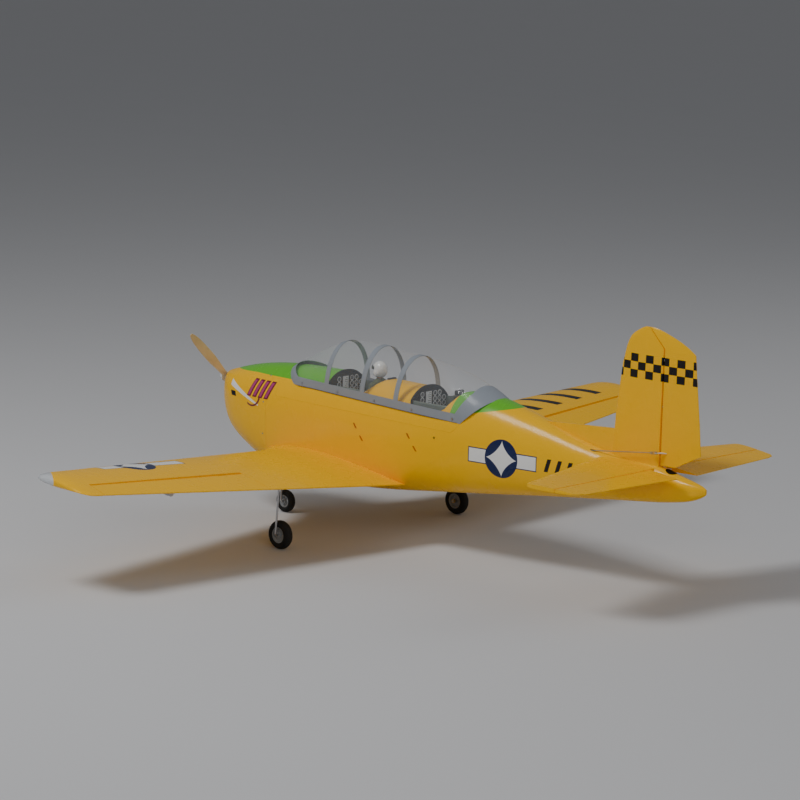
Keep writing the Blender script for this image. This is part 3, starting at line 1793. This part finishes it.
@dataclass
class Pilot:
    """Helmeted doll, head, shoulders and arms, in the front place."""

    kit: Kit

    def build(self) -> None:
        """Builds the doll in its finishes."""
        low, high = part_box("pilot_figure")
        self.centre = Vector(((low.x + high.x) / 2, 0.0, high.z - 0.0220))
        self._head()
        self._body(low.z)

    def _head(self) -> None:
        """Builds face, helmet, visor and headset."""
        c = self.centre

        def face(unit: Vector) -> Vector:
            """Narrows the jaw and raises a nose.

            Args:
                unit: a point of the unit sphere.

            Returns:
                The moved point.
            """
            jaw = 1.0 - 0.28 * max(0.0, -unit.z) ** 1.5
            ahead = unit.x > 0
            bridge = (unit.y / 0.16) ** 2 + ((unit.z + 0.12) / 0.26) ** 2
            nose = 0.16 * math.exp(-bridge) if ahead else 0.0
            brow = 0.05 * math.exp(-(((unit.z - 0.22) / 0.12) ** 2)) if ahead else 0.0
            return Vector((unit.x * jaw + nose + brow, unit.y * jaw, unit.z))

        head = bmesh.new()
        add_ball(head, c + Vector((0.001, 0, -0.004)), (0.0150, 0.0130, 0.0185), face)
        for side in (-1, 1):
            add_ball(head, c + Vector((0.0138, side * 0.0052, -0.0045)), (0.0022, 0.0024, 0.0014))
        add_tube(head, [c + Vector((-0.002, 0, -0.034)), c + Vector((0.0, 0, -0.016))], [0.0078, 0.0070])
        skin = add_object("pilot_face", settle("pilot_face", head), Palette.SKIN)
        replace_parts(self.kit.fit(skin, "hatch", "pilot_cloth"), "pilot_figure")

        def shell(unit: Vector) -> Vector:
            """Cuts the helmet open over the face.

            Args:
                unit: a point of the unit sphere.

            Returns:
                The moved point.
            """
            if unit.x > 0.30 and unit.z < 0.22:
                return Vector((0.30 + (unit.x - 0.30) * 0.18, unit.y * 1.03, max(unit.z, -0.80)))
            return Vector((unit.x, unit.y, max(unit.z, -0.80)))

        helmet = bmesh.new()
        add_ball(helmet, c + Vector((-0.001, 0, 0.0005)), (0.0198, 0.0178, 0.0212), shell)
        for side in (-1, 1):
            add_ball(helmet, c + Vector((-0.001, side * 0.0150, -0.006)), (0.0082, 0.0040, 0.0090))
        self.kit.fit(add_object("pilot_helmet", settle("pilot_helmet", helmet), Palette.HELMET), "hatch")
        band = []
        for step in range(25):
            t = math.radians(-78 + 6.5 * step)
            band.append(c + Vector((-0.001 + 0.0206 * math.cos(t), 0.0186 * math.sin(t), 0.0060)))
        self.kit.fit(self.kit.sweep.along("pilot_visor", [band], 0.0024, 0.0082, Palette.VISOR), "hatch")
        boom = [
            c + Vector((0.001 + 0.0032 * i, 0.0165 - 0.0010 * i * i * 0.5, -0.0100 - 0.0008 * i))
            for i in range(6)
        ]
        rig = self.kit.sweep.along("pilot_microphone", [boom], 0.0010, 0.0010, Palette.RUBBER)
        self.kit.fit(rig, "hatch")

    def _body(self, foot: float) -> None:
        """Builds torso, arms, collar and harness.

        Args:
            foot: height of the seat.
        """
        c = self.centre
        body = bmesh.new()
        rings = []
        for z, rx, ry in ((0.0, 0.0150, 0.0235), (
            0.016, 0.0150, 0.0240
        ), (0.034, 0.0160, 0.0270), (0.050, 0.0150, 0.0295),
                          (0.057, 0.0125, 0.0260), (0.062, 0.0092, 0.0150), (0.066, 0.0080, 0.0092)):
            rings.append(ring_at(
                Vector((c.x - 0.002, 0, foot + 0.004 + z)), Vector((rx, 0, 0)), Vector((0, ry, 0)), 32
            ))
        add_loft(body, rings)
        for side in (-1, 1):
            shoulder = Vector((c.x - 0.002, side * 0.0265, foot + 0.052))
            elbow = Vector((c.x + 0.003, side * 0.0345, foot + 0.026))
            wrist = Vector((c.x + 0.028, side * 0.016, foot + 0.022))
            add_tube(body, [shoulder, shoulder.lerp(elbow, 0.5), elbow], [0.0082, 0.0078, 0.0068])
            add_tube(body, [elbow, elbow.lerp(wrist, 0.5), wrist], [0.0068, 0.0062, 0.0050])
            add_ball(body, elbow, (0.0070, 0.0070, 0.0070))
            add_ball(body, shoulder, (0.0086, 0.0086, 0.0086))
            hip = Vector((c.x, side * 0.012, foot + 0.010))
            knee = Vector((c.x + 0.038, side * 0.015, foot + 0.014))
            add_tube(body, [hip, knee], [0.0100, 0.0085])
            add_ball(body, knee, (0.0088, 0.0086, 0.0088))
            add_tube(body, [knee, knee + Vector((0.012, 0, -0.024))], [0.0080, 0.0060])
        self.kit.fit(add_object("pilot_suit", settle("pilot_suit", body), Palette.SUIT), "hatch")
        hands = bmesh.new()
        for side in (-1, 1):
            add_ball(hands, Vector((c.x + 0.031, side * 0.0135, foot + 0.0225)), (0.0058, 0.0042, 0.0040))
        self.kit.fit(add_object("pilot_gloves", settle("pilot_gloves", hands), Palette.CUSHION), "hatch")
        straps = []
        for y in (-0.0095, 0.0095):
            chest = [
                (-0.0140, 0.0600),
                (-0.004, 0.0655),
                (0.0065, 0.0625),
                (0.0125, 0.0540),
                (0.0152, 0.040),
                (0.0150, 0.024),
                (0.0150, 0.010),
            ]
            straps.append([Vector((c.x - 0.001 + dx, y, foot + dz)) for dx, dz in chest])
        self.kit.fit(
            self.kit.sweep.along("pilot_harness", straps, 0.0050, 0.0010, Palette.WEBBING), "hatch"
        )


@dataclass
class Studio:
    """Floor, lights and camera."""

    eye: Colour = (-5.43318, 6.01804, 1.78941)
    away: Colour = (-0.670484, 0.721310, 0.173675)
    up: Colour = (0.137222, -0.109485, 0.984471)
    lens: float = 154.23
    floor_size: float = 90.0

    def build(self) -> None:
        """Builds the floor, the lights and the camera."""
        self._floor()
        self._lights()
        self._camera()

    def _floor(self) -> None:
        """Adds the plain floor."""
        half = self.floor_size / 2
        mesh = bpy.data.meshes.new("studio_floor")
        corners = [(-half, -half, 0), (half, -half, 0), (half, half, 0), (-half, half, 0)]
        mesh.from_pydata([Vector(c) for c in corners], [], [(0, 1, 2, 3)])
        add_object("studio_floor", mesh, Palette.FLOOR, False)

    def _lights(self) -> None:
        """Adds a pale sky and three soft lamps."""
        world = bpy.data.worlds.new("pale sky")
        bpy.context.scene.world = world
        world.use_nodes = True
        world.node_tree.nodes["Background"].inputs[0].default_value = (0.86, 0.88, 0.92, 1.0)
        world.node_tree.nodes["Background"].inputs[1].default_value = 0.20
        lamps = (
            ("key", (1.2, 2.6, 4.4), 120.0, 1.5),
            ("fill", (-4.5, 3.4, 2.4), 55.0, 2.6),
            ("rim", (-1.5, -4.0, 3.4), 30.0, 2.6),
        )
        for name, place, power, size in lamps:
            light = bpy.data.lights.new(name, "AREA")
            light.energy = power
            light.size = size
            lamp = bpy.data.objects.new(name, light)
            lamp.location = place
            lamp.rotation_mode = "QUATERNION"
            lamp.rotation_quaternion = (Vector((0, 0, 0.25)) - Vector(place)).to_track_quat("-Z", "Y")
            bpy.context.scene.collection.objects.link(lamp)

    def _camera(self) -> None:
        """Adds the camera."""
        data = bpy.data.cameras.new("camera")
        data.lens = self.lens
        data.sensor_width = 36.0
        data.clip_start = 0.1
        data.clip_end = 100.0
        camera = bpy.data.objects.new("camera", data)
        back, up = Vector(self.away).normalized(), Vector(self.up).normalized()
        right = up.cross(back).normalized()
        up = back.cross(right)
        turn = Matrix((right, up, back)).transposed()
        camera.rotation_mode = "QUATERNION"
        camera.rotation_quaternion = turn.to_quaternion()
        camera.location = Vector(self.eye)
        bpy.context.scene.collection.objects.link(camera)
        bpy.context.scene.camera = camera


def main() -> None:
    """Builds every sub-assembly in order."""
    logging.basicConfig(level=logging.INFO)
    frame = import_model()
    slots = {row["node"]: row["material_slot"] for row in frame["record"]["subparts"]}
    kit = Kit(slots, Scatter(), Sweep())
    for assembly in (
        Airframe(kit),
        Powerplant(kit),
        Undercarriage(kit),
        RadioGear(kit),
        Cockpit(kit),
        Canopy(kit),
        Pilot(kit),
        Studio(),
    ):
        assembly.build()
        LOG.info("built %s", type(assembly).__name__)


if __name__ == "__main__":
    main()
